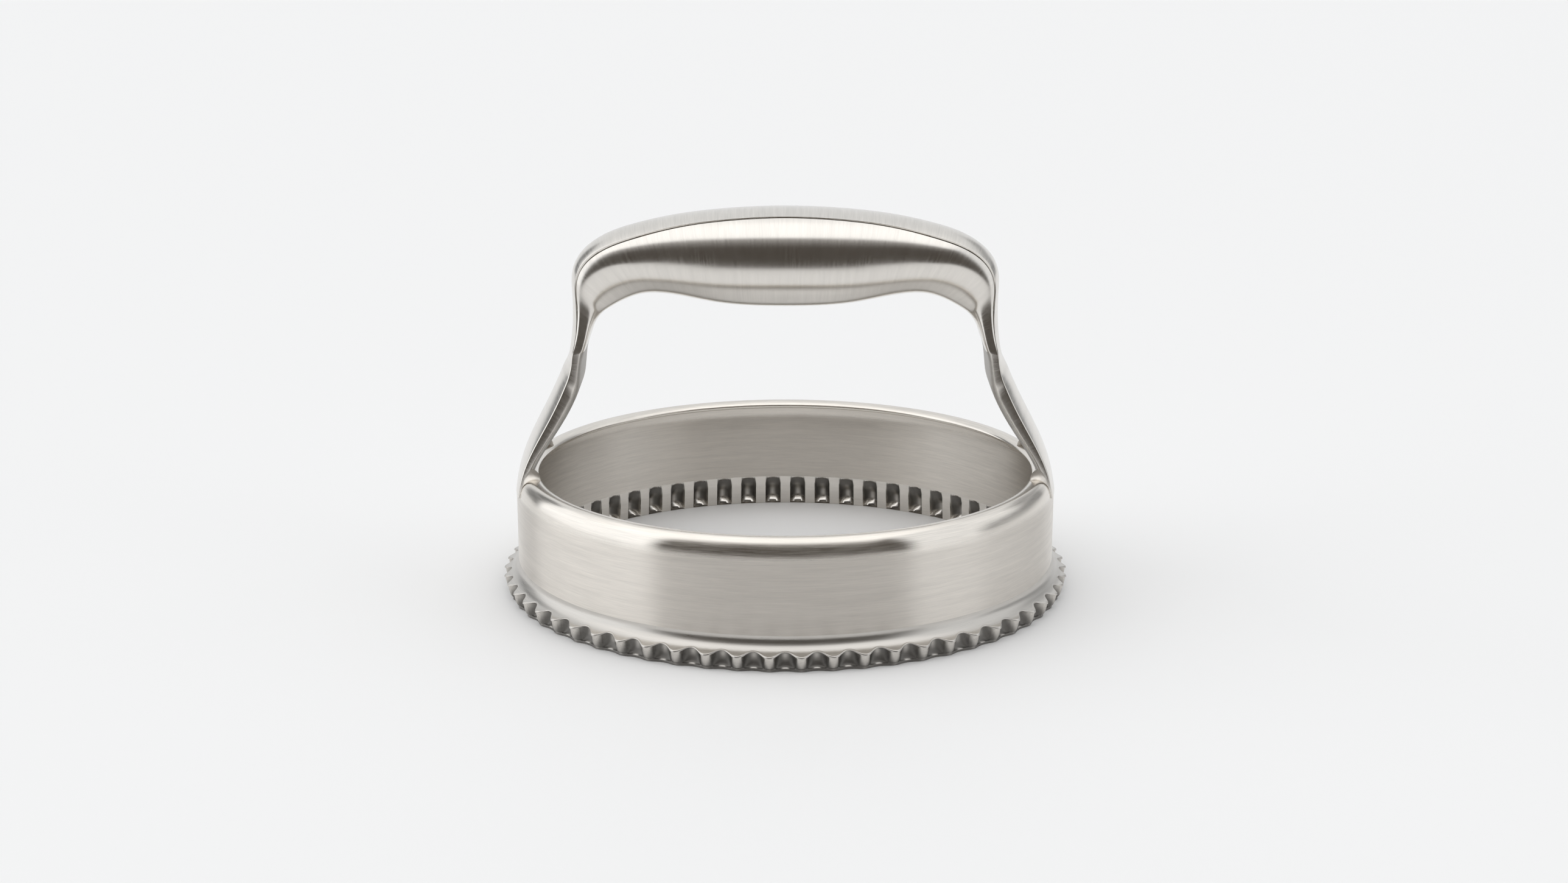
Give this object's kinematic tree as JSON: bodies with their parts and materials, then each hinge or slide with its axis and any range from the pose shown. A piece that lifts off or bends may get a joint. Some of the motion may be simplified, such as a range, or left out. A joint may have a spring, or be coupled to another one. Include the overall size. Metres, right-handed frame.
{
  "type": "ravioli cutter",
  "caption": "Round steel pastry cutter: a smooth band with a scalloped cutting edge below and an arched oval grip that stands on the rim on two flared legs.",
  "frame": {"origin": "centre of the ring, on the surface that the cutting edge stands on", "axes": "+Z along the ring's axis, up towards the grip; X along the grip, from foot to foot; +Y away from the picture's camera"},
  "size_m": [0.0844, 0.0844, 0.0564],
  "materials": {
    "satin_steel": "satin",
    "polished_steel": "polished"
  },
  "bodies": {
    "root": {"cutter_band": "satin_steel", "fluted_cutting_ring": "polished_steel", "handle_strap": "satin_steel", "grip_shell": "satin_steel", "weld_front_left": "polished_steel", "weld_front_right": "polished_steel", "weld_rear_left": "polished_steel", "weld_rear_right": "polished_steel"}
  },
  "joints": []
}
